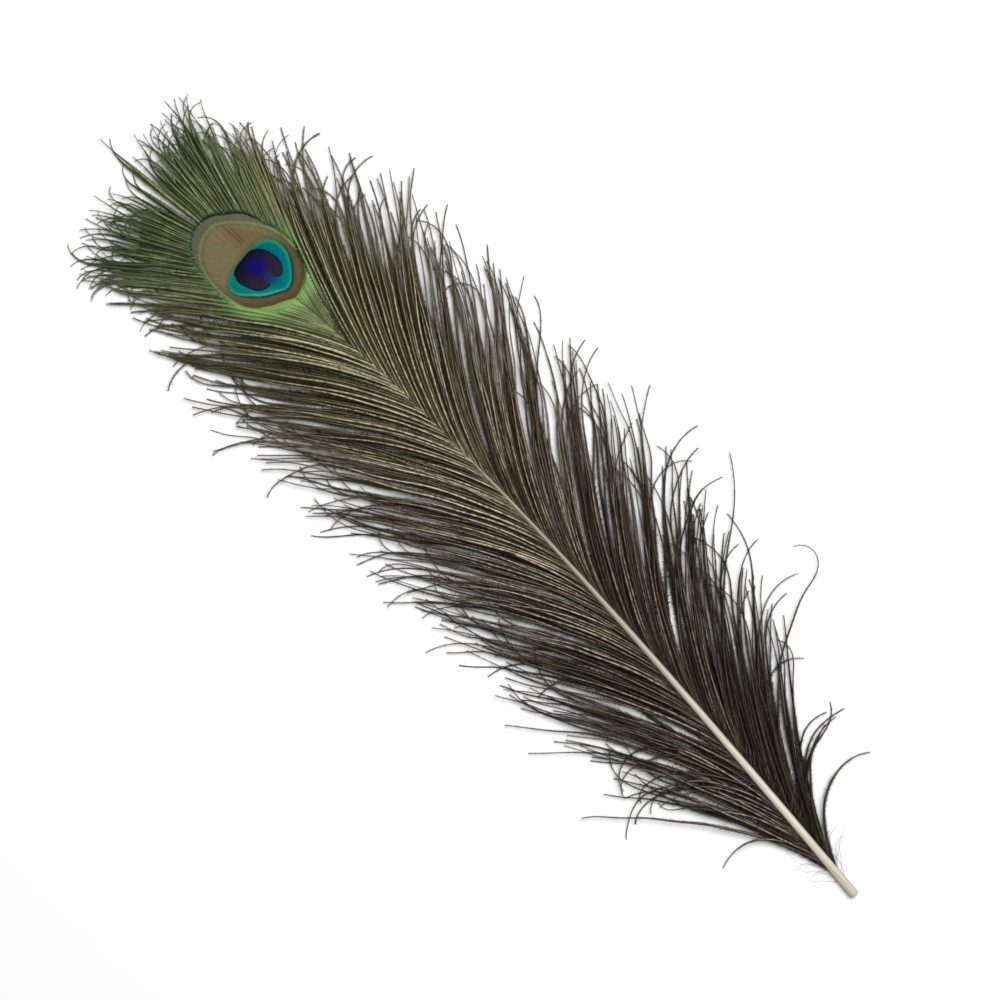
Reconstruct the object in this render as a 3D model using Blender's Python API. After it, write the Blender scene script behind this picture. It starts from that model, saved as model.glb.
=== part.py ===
"""A cut peacock eye feather, lying flat with its coloured side up.

The feather grew as one piece, so it is one solid: a tapering shaft, loose barbs that hang
together as pointed locks along both sides, the close-knit vane that carries the eye, and
a fan of locks beyond it. The rings of the eye are only colour, so nothing is raised there.

Metres, +Z up. The tip points to +Y and the flat underside of the shaft lies on Z = 0. The
origin is at the middle of the footprint.
"""

import math
import random

import bmesh
import bpy
from mathutils import Vector

MM = 0.001
NAME = "peacock_feather"
SEED = 7

# Shaft, seen from above: a cubic curve from the cut end to the notch of the eye, in mm
CUT_END = Vector((0.0, 0.0))
LOWER_HANDLE = Vector((5.5, 70.0))
UPPER_HANDLE = Vector((13.8, 165.0))
NOTCH = Vector((6.4, 232.6))
EYE_TURN = math.radians(7.0)  # the eye's axis leans this far to the left of +Y

# Shaft section, in mm: width and height at the cut end, the notch and the tip of the rachis
SHAFT_WIDTH_CUT = 2.7
SHAFT_WIDTH_NOTCH = 1.0
SHAFT_WIDTH_TIP = 0.5
SHAFT_STATIONS = 24
HEIGHT_OF_WIDTH = 0.9
RACHIS_INSIDE_EYE = 20.0
CUT_ROUNDING = 0.7

# Eye vane: an egg-shaped plate, its narrow end at the notch, in mm
EYE_LENGTH = 35.5
EYE_HALF_WIDTH = 14.0
EYE_SETBACK = 1.0  # the vane starts this far before the notch
EYE_SKEW = 0.82
EYE_ROUNDNESS = 0.585
EYE_THICKNESS = 0.8
EYE_HEIGHT = 1.0
EYE_POINTS = 44

# Loose barbs as locks, in mm and degrees off the shaft
LOCKS_A_SIDE = 31
FIRST_LOCK = 0.05
ROOT_ANGLE = 42.0
LOOSE_BEND = 26.0
EYE_BEND = -10.0
TIP_ANGLE = 30.0
BEND_CHANGES_FROM = 0.72
LOCK_LENGTH = 62.0
LOCK_BELLY = 20.0
LENGTH_SPREAD = 0.09
ANGLE_SPREAD = 4.0
LOCK_FILL = 0.47
LOCK_SEGMENTS = 8
LOCK_RISE = 2.6
TIP_CLEARANCE = 0.08

# Fan of locks that leave the rachis inside the eye
FAN_LOCKS_A_SIDE = 5
FAN_CENTRE_ANGLE = 5.0
FAN_CENTRE_LENGTH = 47.0
FAN_HALF_WIDTH = 1.7
FAN_RISE = 1.4

# Section of a lock, as shares of its half-width
LOCK_THICKNESS = 0.34
LEAST_HALF_THICKNESS = 0.28
TIP_SHARE = 0.16

LOCK_COLOUR = (0.045, 0.05, 0.018, 1.0)
LOCK_ROUGHNESS = 0.55


def ease(value):
    """A smooth step from 0 to 1."""
    value = min(max(value, 0.0), 1.0)
    return value * value * (3.0 - 2.0 * value)


def mix(low, high, share):
    """The value at a share of the way from low to high."""
    return low + (high - low) * share


def direction(heading):
    """Unit vector seen from above: 0 is +Y, and positive turns to the left."""
    return Vector((-math.sin(heading), math.cos(heading)))


def shaft_place(share):
    """Point and heading of the shaft, share 0 at the cut end and 1 at the notch."""
    rest = 1.0 - share
    point = CUT_END * rest**3 + LOWER_HANDLE * (3.0 * share * rest**2)
    point += UPPER_HANDLE * (3.0 * share**2 * rest) + NOTCH * share**3
    slope = (LOWER_HANDLE - CUT_END) * rest**2 + (NOTCH - UPPER_HANDLE) * share**2
    slope += (UPPER_HANDLE - LOWER_HANDLE) * (2.0 * share * rest)
    return point, math.atan2(-slope.x, slope.y)


def eye_place(along):
    """Point and heading on the eye's axis, so many mm beyond the notch."""
    return NOTCH + direction(EYE_TURN) * along, EYE_TURN


def shaft_length():
    """Length of the shaft from the cut end to the notch, in mm."""
    points = [shaft_place(step / 60.0)[0] for step in range(61)]
    return sum((b - a).length for a, b in zip(points, points[1:]))


def shaft_width(share):
    """Width of the shaft at a share of the way to the notch."""
    return mix(SHAFT_WIDTH_CUT, SHAFT_WIDTH_NOTCH, share**1.15)


def new_material():
    """Dark bronze-green keratin."""
    material = bpy.data.materials.new("barb_keratin")
    material.use_nodes = True
    shader = material.node_tree.nodes["Principled BSDF"]
    shader.inputs["Base Color"].default_value = LOCK_COLOUR
    shader.inputs["Roughness"].default_value = LOCK_ROUGHNESS
    shader.inputs["Metallic"].default_value = 0.0
    return material


def outline_curve(name, points, collection):
    """A closed 2D curve through the points, in metres."""
    curve = bpy.data.curves.new(name, "CURVE")
    curve.dimensions = "2D"
    spline = curve.splines.new("POLY")
    spline.points.add(len(points) - 1)
    for target, (x, y) in zip(spline.points, points):
        target.co = (x, y, 0.0, 1.0)
    spline.use_cyclic_u = True
    outline = bpy.data.objects.new(name, curve)
    collection.objects.link(outline)
    return outline


def swept_mesh(name, points, radii, section, collection):
    """A mesh object: the section swept through the points, scaled by the radii."""
    curve = bpy.data.curves.new(name, "CURVE")
    curve.dimensions = "3D"
    curve.twist_mode = "Z_UP"
    curve.bevel_mode = "OBJECT"
    curve.bevel_object = section
    curve.use_fill_caps = True
    spline = curve.splines.new("POLY")
    spline.points.add(len(points) - 1)
    for target, point, radius in zip(spline.points, points, radii):
        target.co = (*(point * MM), 1.0)
        target.radius = radius
    swept = bpy.data.objects.new(name, curve)
    collection.objects.link(swept)
    return made_mesh(swept, collection)


def made_mesh(source, collection):
    """Replaces a curve object by a closed mesh object of the same form."""
    bpy.context.view_layer.update()
    evaluated = source.evaluated_get(bpy.context.evaluated_depsgraph_get())
    mesh = bpy.data.meshes.new_from_object(evaluated)
    form = bmesh.new()
    form.from_mesh(mesh)
    bmesh.ops.remove_doubles(form, verts=form.verts, dist=1e-6)
    bmesh.ops.recalc_face_normals(form, faces=form.faces)
    form.to_mesh(mesh)
    form.free()
    name = source.name
    made = bpy.data.objects.new(name + "_mesh", mesh)
    made.matrix_world = source.matrix_world
    collection.objects.link(made)
    bpy.data.objects.remove(source)
    return made


def shaft_section(collection):
    """Section of the shaft, 2 mm wide at radius 1: a flat underside and a rounded back."""
    half_height = HEIGHT_OF_WIDTH
    points = [(-0.62, -half_height), (0.62, -half_height), (1.0, -0.45 * half_height)]
    points += [(0.92, 0.35 * half_height), (0.5, half_height), (-0.5, half_height)]
    points += [(-0.92, 0.35 * half_height), (-1.0, -0.45 * half_height)]
    metres = [(x * MM, y * MM) for x, y in points]
    return outline_curve("shaft_section", metres, collection)


def lock_section(collection):
    """Section of a lock, 2 mm wide at radius 1: a flat diamond."""
    points = [(-1.0, 0.0), (0.0, -LOCK_THICKNESS), (1.0, 0.0), (0.0, LOCK_THICKNESS)]
    metres = [(x * MM, y * MM) for x, y in points]
    return outline_curve("lock_section", metres, collection)


def model_shaft(section, collection):
    """The shaft from its rounded cut end to the tip of the rachis inside the eye."""
    places = []
    widths = []
    for step in range(SHAFT_STATIONS + 1):
        share = step / SHAFT_STATIONS
        places.append(shaft_place(share)[0])
        widths.append(shaft_width(share))
    places.append(eye_place(0.5 * RACHIS_INSIDE_EYE)[0])
    widths.append(mix(SHAFT_WIDTH_NOTCH, SHAFT_WIDTH_TIP, 0.5))
    places.append(eye_place(RACHIS_INSIDE_EYE)[0])
    widths.append(SHAFT_WIDTH_TIP)
    base, heading = shaft_place(0.0)
    places.insert(1, base + direction(heading) * CUT_ROUNDING)
    widths.insert(1, SHAFT_WIDTH_CUT)
    widths[0] = SHAFT_WIDTH_CUT - CUT_ROUNDING
    radii = [width / 2.0 for width in widths]
    points = [
        Vector((place.x, place.y, radius * HEIGHT_OF_WIDTH))
        for place, radius in zip(places, radii)
    ]
    points[0].z = radii[1] * HEIGHT_OF_WIDTH
    return swept_mesh("shaft", points, radii, section, collection)


def lock_points(root, heading, side, angles, length, heights):
    """Centreline of a lock.

    It leaves the shaft at the first angle, bends by the second and ends at the third. Its
    heights are those of its root, of the rise on its way out, and of its tip.
    """
    root_angle, bend_angle, tip_angle = angles
    root_height, rise, tip_height = heights
    place = root.copy()
    points = []
    for step in range(LOCK_SEGMENTS + 1):
        share = step / LOCK_SEGMENTS
        height = mix(root_height, tip_height, share) + rise * math.sin(math.pi * share)
        points.append(Vector((place.x, place.y, height)))
        share += 0.5 / LOCK_SEGMENTS
        angle = root_angle * (1.0 - share) ** 2 + tip_angle * share**2
        angle += bend_angle * 2.0 * share * (1.0 - share)
        turned = heading - side * math.radians(angle)
        place = place + direction(turned) * (length / LOCK_SEGMENTS)
    return points


def lock_radii(half_width):
    """Half-widths along a lock: full near a third of its length, pointed at the tip."""
    radii = []
    for step in range(LOCK_SEGMENTS + 1):
        share = step / LOCK_SEGMENTS
        swell = mix(0.8, 1.0, ease(share / 0.3))
        taper = mix(1.0, TIP_SHARE, ease((share - 0.35) / 0.65))
        radii.append(half_width * swell * taper)
    return radii


def sweep_lock(name, points, half_width, section, collection):
    """A lock, kept just clear of the surface that the feather lies on."""
    radii = lock_radii(half_width)
    for point, radius in zip(points, radii):
        point.z = max(point.z, radius * LOCK_THICKNESS + TIP_CLEARANCE)
    return swept_mesh(name, points, radii, section, collection)


def side_locks(section, collection, draws):
    """The loose barbs along both sides of the shaft, as locks."""
    locks = []
    pitch = shaft_length() * (1.0 - FIRST_LOCK) / (LOCKS_A_SIDE - 1)
    for side in (-1, 1):
        for number in range(LOCKS_A_SIDE):
            share = mix(FIRST_LOCK, 1.0, number / (LOCKS_A_SIDE - 1))
            share -= 0.25 * side * pitch / shaft_length() * (number > 0)
            share = min(share, 1.0)
            root, heading = shaft_place(share)
            near_eye = ease((share - BEND_CHANGES_FROM) / (1.0 - BEND_CHANGES_FROM))
            bend = mix(LOOSE_BEND, EYE_BEND, near_eye)
            tip = TIP_ANGLE + draws.uniform(-ANGLE_SPREAD, ANGLE_SPREAD)
            length = LOCK_LENGTH + LOCK_BELLY * math.sin(math.pi * share**0.75)
            length *= 1.0 + draws.uniform(-LENGTH_SPREAD, LENGTH_SPREAD)
            middle_angle = (ROOT_ANGLE + 2.0 * bend + tip) / 4.0
            half_width = LOCK_FILL * pitch * math.sin(math.radians(middle_angle))
            root_height = 0.5 * shaft_width(share) * HEIGHT_OF_WIDTH
            heights = (root_height, LOCK_RISE, 0.0)
            angles = (ROOT_ANGLE, bend, tip)
            points = lock_points(root, heading, side, angles, length, heights)
            name = f"lock_{side}_{number}"
            locks.append(sweep_lock(name, points, half_width, section, collection))
    return locks


def fan_locks(section, collection, draws):
    """The barbs that leave the rachis inside the eye and spread beyond it, as locks."""
    locks = []
    for number in range(-FAN_LOCKS_A_SIDE, FAN_LOCKS_A_SIDE + 1):
        side = 1 if number > 0 else -1
        inward = 1.0 - abs(number) / (FAN_LOCKS_A_SIDE + 1)
        root, heading = eye_place(RACHIS_INSIDE_EYE * inward**2)
        centre_angle = FAN_CENTRE_ANGLE if number else 0.0
        root_angle = mix(ROOT_ANGLE, centre_angle, inward)
        bend = mix(EYE_BEND, 0.0, inward)
        tip = mix(TIP_ANGLE, centre_angle, inward)
        tip += draws.uniform(-ANGLE_SPREAD, ANGLE_SPREAD)
        length = mix(LOCK_LENGTH, FAN_CENTRE_LENGTH, inward)
        length *= 1.0 + draws.uniform(-LENGTH_SPREAD, LENGTH_SPREAD) / 2.0
        heights = (EYE_HEIGHT, FAN_RISE, 0.0)
        angles = (root_angle, bend, tip)
        points = lock_points(root, heading, side, angles, length, heights)
        name = f"fan_lock_{number}"
        locks.append(sweep_lock(name, points, FAN_HALF_WIDTH, section, collection))
    return locks


def eye_half_width(share):
    """Half-width of the eye vane at a share of its length."""
    return EYE_HALF_WIDTH * math.sin(math.pi * share**EYE_SKEW) ** EYE_ROUNDNESS


def model_eye(collection):
    """The close-knit vane that carries the eye, as an egg-shaped plate."""
    forward = direction(EYE_TURN)
    across = Vector((forward.y, -forward.x))
    outline = []
    half_count = EYE_POINTS // 2
    for step in range(EYE_POINTS):
        side = 1 if step < half_count else -1
        turn = math.pi * step / half_count
        share = 0.5 - 0.5 * math.cos(turn)
        reach = eye_half_width(min(max(share, 0.0), 1.0)) if step % half_count else 0.0
        start, _ = eye_place(share * EYE_LENGTH - EYE_SETBACK)
        place = (start + across * (side * reach)) * MM
        outline.append((place.x, place.y))
    vane = outline_curve("eye_vane", outline, collection)
    vane.data.fill_mode = "BOTH"
    vane.data.extrude = 0.5 * EYE_THICKNESS * MM
    vane.location.z = EYE_HEIGHT * MM
    return made_mesh(vane, collection)


def joined(body, pieces, collection):
    """The body with every piece fused to it by one Boolean union."""
    helpers = bpy.data.collections.new("fused_pieces")
    bpy.context.scene.collection.children.link(helpers)
    for piece in pieces:
        collection.objects.unlink(piece)
        helpers.objects.link(piece)
        piece.hide_render = True
        piece.display_type = "WIRE"
    fuse = body.modifiers.new("fuse", "BOOLEAN")
    fuse.operation = "UNION"
    fuse.operand_type = "COLLECTION"
    fuse.collection = helpers
    fuse.solver = "EXACT"
    return body


def centre_footprint(feather):
    """A mesh object of the finished feather, its origin at the middle of its footprint."""
    bpy.context.view_layer.update()
    evaluated = feather.evaluated_get(bpy.context.evaluated_depsgraph_get())
    mesh = bpy.data.meshes.new_from_object(evaluated)
    corners = [vertex.co for vertex in mesh.vertices]
    low = Vector(min(corner[axis] for corner in corners) for axis in range(3))
    high = Vector(max(corner[axis] for corner in corners) for axis in range(3))
    middle = (low + high) / 2.0
    for vertex in mesh.vertices:
        vertex.co -= Vector((middle.x, middle.y, low.z))
    return bpy.data.objects.new(NAME, mesh)


def main():
    """Models the feather in a collection of its own name."""
    for existing in list(bpy.data.objects):
        bpy.data.objects.remove(existing)
    parts = bpy.data.collections.new(NAME)
    workshop = bpy.data.collections.new("workshop")
    bpy.context.scene.collection.children.link(parts)
    bpy.context.scene.collection.children.link(workshop)
    draws = random.Random(SEED)

    shaft_profile = shaft_section(workshop)
    lock_profile = lock_section(workshop)
    shaft = model_shaft(shaft_profile, workshop)
    pieces = side_locks(lock_profile, workshop, draws)
    pieces += fan_locks(lock_profile, workshop, draws)
    pieces.append(model_eye(workshop))

    feather = centre_footprint(joined(shaft, pieces, workshop))
    feather.data.materials.clear()
    feather.data.materials.append(new_material())
    parts.objects.link(feather)
    for helper in [*pieces, shaft, shaft_profile, lock_profile]:
        bpy.data.objects.remove(helper)


main()
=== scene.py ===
"""The looks of a cut peacock eye feather, lying flat with its coloured side up.

Every barb is a mesh of its own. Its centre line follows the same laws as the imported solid,
and one Geometry Nodes tree sweeps a ridged blade along it and sets barbules on both sides.
The rings of the eye are colour alone: the material works them out in the eye's own plane.

Lengths and places are in millimetres and angles in degrees, until a mesh is made of them.
A station is a share of the shaft, from 0 at its cut end to 1 at the eye's notch. A field that
holds a step gives where it leaves 0 and how far on it reaches 1, below 0 where it runs back.
"""

import logging
import math
from collections.abc import Callable
from dataclasses import dataclass, field
from enum import Enum
from functools import partial

import bmesh
import bpy
import numpy as np
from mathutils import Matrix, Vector


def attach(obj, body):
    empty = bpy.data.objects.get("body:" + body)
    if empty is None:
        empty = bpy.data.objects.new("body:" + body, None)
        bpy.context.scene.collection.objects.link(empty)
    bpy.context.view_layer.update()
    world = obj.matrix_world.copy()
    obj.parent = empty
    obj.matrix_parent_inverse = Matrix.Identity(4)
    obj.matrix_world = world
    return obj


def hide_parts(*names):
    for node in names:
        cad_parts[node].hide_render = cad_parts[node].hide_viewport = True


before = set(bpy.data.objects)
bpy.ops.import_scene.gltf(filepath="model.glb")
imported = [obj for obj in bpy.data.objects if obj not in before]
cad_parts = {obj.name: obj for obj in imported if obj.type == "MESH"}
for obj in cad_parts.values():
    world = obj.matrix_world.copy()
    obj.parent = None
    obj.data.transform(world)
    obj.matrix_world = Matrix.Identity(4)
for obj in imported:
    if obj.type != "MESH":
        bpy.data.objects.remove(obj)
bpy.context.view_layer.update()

MM = 0.001
NODE = "peacock_feather"
BODY = "root"
SEED = 11
LOG = logging.getLogger("feather")

# The picture's width, where its middle falls and its turn, from how the feather lies in it
PHOTO_MM = 285.0
PHOTO_CENTRE = (-3.43, 0.84)
PHOTO_TURN = -44.69

KERATIN_IOR = 1.56
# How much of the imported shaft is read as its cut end
CUT_DEPTH = 0.3
# The step along the shaft over which the roots of the barbs close above it
ROOTS_CLOSE = (0.5, 0.3)

# Node types are named without their family, and these kinds have these settings unless told
FAMILIES = ("ShaderNode", "GeometryNode", "FunctionNode", "Node")
USUAL = {"Mix": {"data_type": "RGBA"}, "Math": {"operation": "MULTIPLY"}}
SMOOTH = {"interpolation_type": "SMOOTHSTEP"}

Pair = tuple[float, float]
Triple = tuple[float, float, float]
Rows = tuple[tuple[float, ...], ...]
Stops = tuple[tuple[float, str], ...]
Array = np.ndarray
Draws = np.random.Generator
Node = bpy.types.Node
Tree = bpy.types.NodeTree
Object = bpy.types.Object
Material = bpy.types.Material
Adder = Callable[..., Node]


class Side(Enum):
    """The side of the shaft, as the factor that mirrors a barb."""

    LEFT = -1
    RIGHT = 1


class Slot(Enum):
    """Material slots of the record."""

    BARBS = "barbs"
    EYE = "eye"
    QUILL = "quill"


class Contour(Enum):
    """Closed lines of the eye, as their distance from its centre by the angle off its axis.

    Each value holds pairs of an angle in degrees, positive to the right, and a distance in mm.
    """

    BAND = (
        (-180, 12.8), (-120, 11.1), (-90, 11.9), (-60, 13.6), (-45, 15.8), (-30, 18.8), (-20, 20.6),
        (-10, 21.6), (0, 21.6), (10, 20.5), (20, 18.6), (30, 17.4), (45, 15.0), (60, 12.9), (90, 11.8),
        (120, 12.0), (180, 12.8),
    )
    OVAL = (
        (-180, 12.6), (-170, 11.4), (-160, 10.8), (-145, 10.5), (-130, 10.7), (-110, 11.1), (-90, 11.6),
        (-75, 12.1), (-60, 13.2), (-50, 14.3), (-40, 15.6), (-30, 16.9), (-20, 17.8), (-10, 18.3),
        (0, 18.3), (10, 17.3), (20, 15.7), (30, 14.2), (40, 13.2), (50, 12.4), (60, 12.0), (80, 11.6),
        (100, 11.4), (120, 11.9), (140, 12.5), (160, 12.7), (180, 12.6),
    )
    TURQUOISE = (
        (-180, 9.1), (-170, 8.2), (-160, 7.7), (-145, 7.5), (-130, 7.5), (-115, 7.7), (-100, 8.5),
        (-90, 9.3), (-80, 10.1), (-70, 10.5), (-60, 10.1), (-50, 9.0), (-40, 8.2), (-30, 7.4),
        (-15, 6.5), (0, 6.2), (15, 6.3), (30, 6.8), (40, 7.4), (50, 8.2), (60, 8.8), (75, 9.3),
        (90, 9.4), (110, 9.2), (130, 8.9), (150, 9.0), (165, 9.4), (180, 9.1),
    )
    WEDGE = (
        (-180, 6.3), (-168, 5.8), (-155, 4.2), (-135, 0.6), (-90, 0.0), (90, 0.0), (140, 0.6),
        (158, 4.2), (170, 6.0), (180, 6.3),
    )
    HEART = (
        (-180, 3.5), (-173, 3.9), (-166, 4.8), (-158, 5.3), (-150, 5.5), (-135, 5.8), (-115, 6.1),
        (-95, 6.2), (-80, 6.7), (-65, 7.3), (-50, 7.6), (-38, 7.4), (-25, 6.8), (-10, 6.2), (5, 6.1),
        (25, 6.4), (45, 6.2), (70, 5.9), (95, 5.9), (115, 6.1), (135, 6.3), (150, 6.3), (158, 5.9),
        (166, 4.8), (173, 3.6), (180, 3.5),
    )
    GLOW = (
        (-180, 1.6), (-120, 1.0), (-60, 2.4), (-10, 3.4), (0, 3.4), (60, 2.4), (120, 1.0), (180, 1.6),
    )

    def at(self, degrees: Array) -> Array:
        """Distances of the contour from the eye's centre at these angles."""
        angles, distances = zip(*self.value)
        return np.interp(degrees, angles, distances)


def mix(low: float, high: float, share: float) -> float:
    """The value at a share of the way from low to high."""
    return low + (high - low) * share


def step(value: float, over: Pair) -> float:
    """A smooth step from 0 to 1, over a stretch given by its start and its length."""
    held = np.clip((value - over[0]) / over[1], 0.0, 1.0)
    return held * held * (3.0 - 2.0 * held)


def towards(heading: float) -> Array:
    """Unit vectors seen from above: heading 0 is +Y, and positive turns to the left."""
    turned = np.radians(heading)
    return np.stack([-np.sin(turned), np.cos(turned)], axis=-1)


def linear(hex_colour: str) -> tuple[float, float, float, float]:
    """Turns an sRGB hex colour to linear.

    Args:
        hex_colour: The colour, as # and six digits.

    Returns:
        Its red, green, blue and alpha.
    """
    parts = [int(hex_colour[place : place + 2], 16) / 255.0 for place in (1, 3, 5)]
    red, green, blue = (
        part / 12.92 if part <= 0.04045 else ((part + 0.055) / 1.055) ** 2.4 for part in parts
    )
    return red, green, blue, 1.0


def fill(node: Node, inputs: dict) -> None:
    """Sets or links inputs of a node.

    Args:
        node: The node, in a shader or geometry tree.
        inputs: Values, sockets or nodes by the input's name or number. A node stands for its
            first output in use, a text with # for a colour, one with @ for an attribute of the
            mesh, and Object and Normal for those coordinates.
    """
    tree = node.id_data
    for name, value in inputs.items():
        if isinstance(value, str) and value[0] == "@":
            value = add_node(tree, "Attribute", attribute_name=value[1:]).outputs["Fac"]
        elif isinstance(value, str) and value in ("Object", "Normal"):
            value = add_node(tree, "TexCoord").outputs[value]
        elif isinstance(value, str) and value[0] == "#":
            value = linear(value)
        elif isinstance(value, Node):
            value = next(output for output in value.outputs if output.enabled)
        if isinstance(value, bpy.types.NodeSocket):
            tree.links.new(value, node.inputs[name])
        else:
            node.inputs[name].default_value = value


def add_node(
    tree: Tree, kind: str, inputs: dict | None = None, stops: Stops = (), **settings: object
) -> Node:
    """Adds a node with its settings, values and links.

    By number, Map Range takes its value as 0, goes from 1 to 2 and gives 3 to 4, and Mix takes
    its share as 0 and its colours as 6 and 7.

    Args:
        tree: The shader or geometry tree.
        kind: The node's type without its family.
        inputs: What goes into it, as for fill.
        stops: Places and hex colours of a colour ramp.
        **settings: The node's own properties.

    Returns:
        The new node.
    """
    family = next(each for each in FAMILIES if hasattr(bpy.types, each + kind))
    node = tree.nodes.new(family + kind)
    for name, value in {**USUAL.get(kind, {}), **settings}.items():
        setattr(node, name, value)
    for number, (place, colour) in enumerate(stops):
        elements = node.color_ramp.elements
        element = elements[number] if number < 2 else elements.new(place)
        element.position, element.color = place, linear(colour)
    fill(node, inputs or {})
    return node


def new_object(name: str, data: bpy.types.ID) -> Object:
    """Puts a new object in the scene.

    Args:
        name: Its name.
        data: Its mesh, light or camera.

    Returns:
        The object.
    """
    made = bpy.data.objects.new(name, data)
    bpy.context.scene.collection.objects.link(made)
    return made


@dataclass(frozen=True)
class FeatherForm:
    """The plan of the feather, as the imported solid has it, from the middle of its cut end.

    Rows of the spreads hold a station, and a barb's root angle, bend and tip angle there.
    """

    origin: Array
    lower_handle: Pair = (5.5, 70.0)
    upper_handle: Pair = (13.8, 165.0)
    notch: Pair = (6.4, 232.6)
    eye_turn: float = 7.0
    eye_centre: float = 13.1
    rachis_inside_eye: float = 20.0
    width_cut: float = 2.7
    width_notch: float = 1.0
    height_of_width: float = 0.9
    left_spread: Rows = (
        (0.06, 18.0, 28.0, 38.0), (0.3, 16.0, 36.0, 38.0), (0.7, 18.0, 44.0, 36.0), (1.0, 18.0, 38.0, 33.0),
    )
    right_spread: Rows = (
        (0.06, 18.0, 28.0, 38.0), (0.3, 16.0, 36.0, 38.0), (0.7, 16.0, 40.0, 34.0), (1.0, 15.0, 22.0, 25.0),
    )
    barb_length: float = 62.0
    barb_belly: float = 20.0
    centre_length: float = 47.0
    knit_root: float = 1.0
    knit_flank: float = 1.9
    knit_trough: float = 7.0

    def shaft_place(self, station: float) -> tuple[Array, float]:
        """Point and heading of the shaft.

        Args:
            station: How far along the shaft.

        Returns:
            The point in the plan, and the heading there.
        """
        rest = 1.0 - station
        lower, upper, notch = map(np.array, (self.lower_handle, self.upper_handle, self.notch))
        point = 3.0 * lower * station * rest**2 + 3.0 * upper * station**2 * rest + notch * station**3
        slope = lower * rest**2 + 2.0 * (upper - lower) * station * rest + (notch - upper) * station**2
        return point, math.degrees(math.atan2(-slope[0], slope[1]))

    def rachis_place(self, along: float) -> tuple[Array, float]:
        """Point and heading of the shaft's last stretch, so many mm beyond the notch."""
        return np.array(self.notch) + towards(self.eye_turn) * along, self.eye_turn

    def shaft_length(self) -> float:
        """Length of the shaft from the cut end to the notch."""
        points = np.array([self.shaft_place(station)[0] for station in np.linspace(0.0, 1.0, 61)])
        return float(np.linalg.norm(np.diff(points, axis=0), axis=1).sum())

    def spread(self, side: Side, station: float) -> Triple:
        """How a barb spreads. Beside the eye the left ones spread wider.

        Args:
            side: Its side of the shaft.
            station: Where its root sits.

        Returns:
            Its root angle, bend and tip angle.
        """
        rows = np.array(self.left_spread if side is Side.LEFT else self.right_spread)
        root, bend, tip = (np.interp(station, rows[:, 0], rows[:, column]) for column in (1, 2, 3))
        return float(root), float(bend), float(tip)

    def barb_reach(self, station: float) -> float:
        """Length of a barb, the longest a little below the middle."""
        return self.barb_length + self.barb_belly * math.sin(math.pi * station**0.75)

    def shaft_width(self, station: float) -> float:
        """Width of the shaft."""
        return mix(self.width_cut, self.width_notch, station**1.15)

    def in_eye(self, points: Array) -> tuple[Array, Array]:
        """Where points lie about the eye's centre.

        Args:
            points: Places in the plan, one per row.

        Returns:
            Their angles off the eye's axis and their distances from its centre.
        """
        forward = towards(self.eye_turn)
        offset = points[:, :2] - np.array(self.notch)
        distal = offset @ forward - self.eye_centre
        across = offset @ np.array([forward[1], -forward[0]])
        return np.degrees(np.arctan2(across, distal)), np.hypot(across, distal)

    def knit_height(self, points: Array) -> Array:
        """Heights of the knit vane, which is a shallow trough along its shaft.

        Args:
            points: Places in the plan, one per row.

        Returns:
            How high the vane is there.
        """
        angle, distance = self.in_eye(points)
        across = np.abs(distance * np.sin(np.radians(angle)))
        return mix(self.knit_root, self.knit_flank, 1.0 - np.exp(-across / self.knit_trough))

    def outside_eye(self, points: Array) -> Array:
        """Distances of points beyond the knit vane's edge, negative inside it."""
        angle, distance = self.in_eye(points)
        return distance - Contour.BAND.at(angle)

    def metres(self, points: Array) -> Array:
        """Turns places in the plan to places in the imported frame.

        Args:
            points: Places, one per row.

        Returns:
            The same places in metres.
        """
        placed = points.copy()
        placed[:, :2] += self.origin
        return placed * MM


def feather_form() -> FeatherForm:
    """The plan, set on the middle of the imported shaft's cut end.

    Returns:
        The plan.
    """
    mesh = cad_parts[NODE].data
    corners = np.empty(len(mesh.vertices) * 3)
    mesh.vertices.foreach_get("co", corners)
    corners = corners.reshape(-1, 3)
    cut = corners[corners[:, 1] < corners[:, 1].min() + CUT_DEPTH * MM]
    middle = (cut.min(axis=0) + cut.max(axis=0)) / 2.0
    return FeatherForm(origin=middle[:2] / MM)


@dataclass(frozen=True)
class Scatter:
    """How unevenly barbs lie: the deviation of their tip angles, and ranges of the rest."""

    tip: float
    length: Pair
    rise: Pair
    tip_height: Pair
    wave: Pair
    wave_period: Pair
    curl_from: Pair


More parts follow.
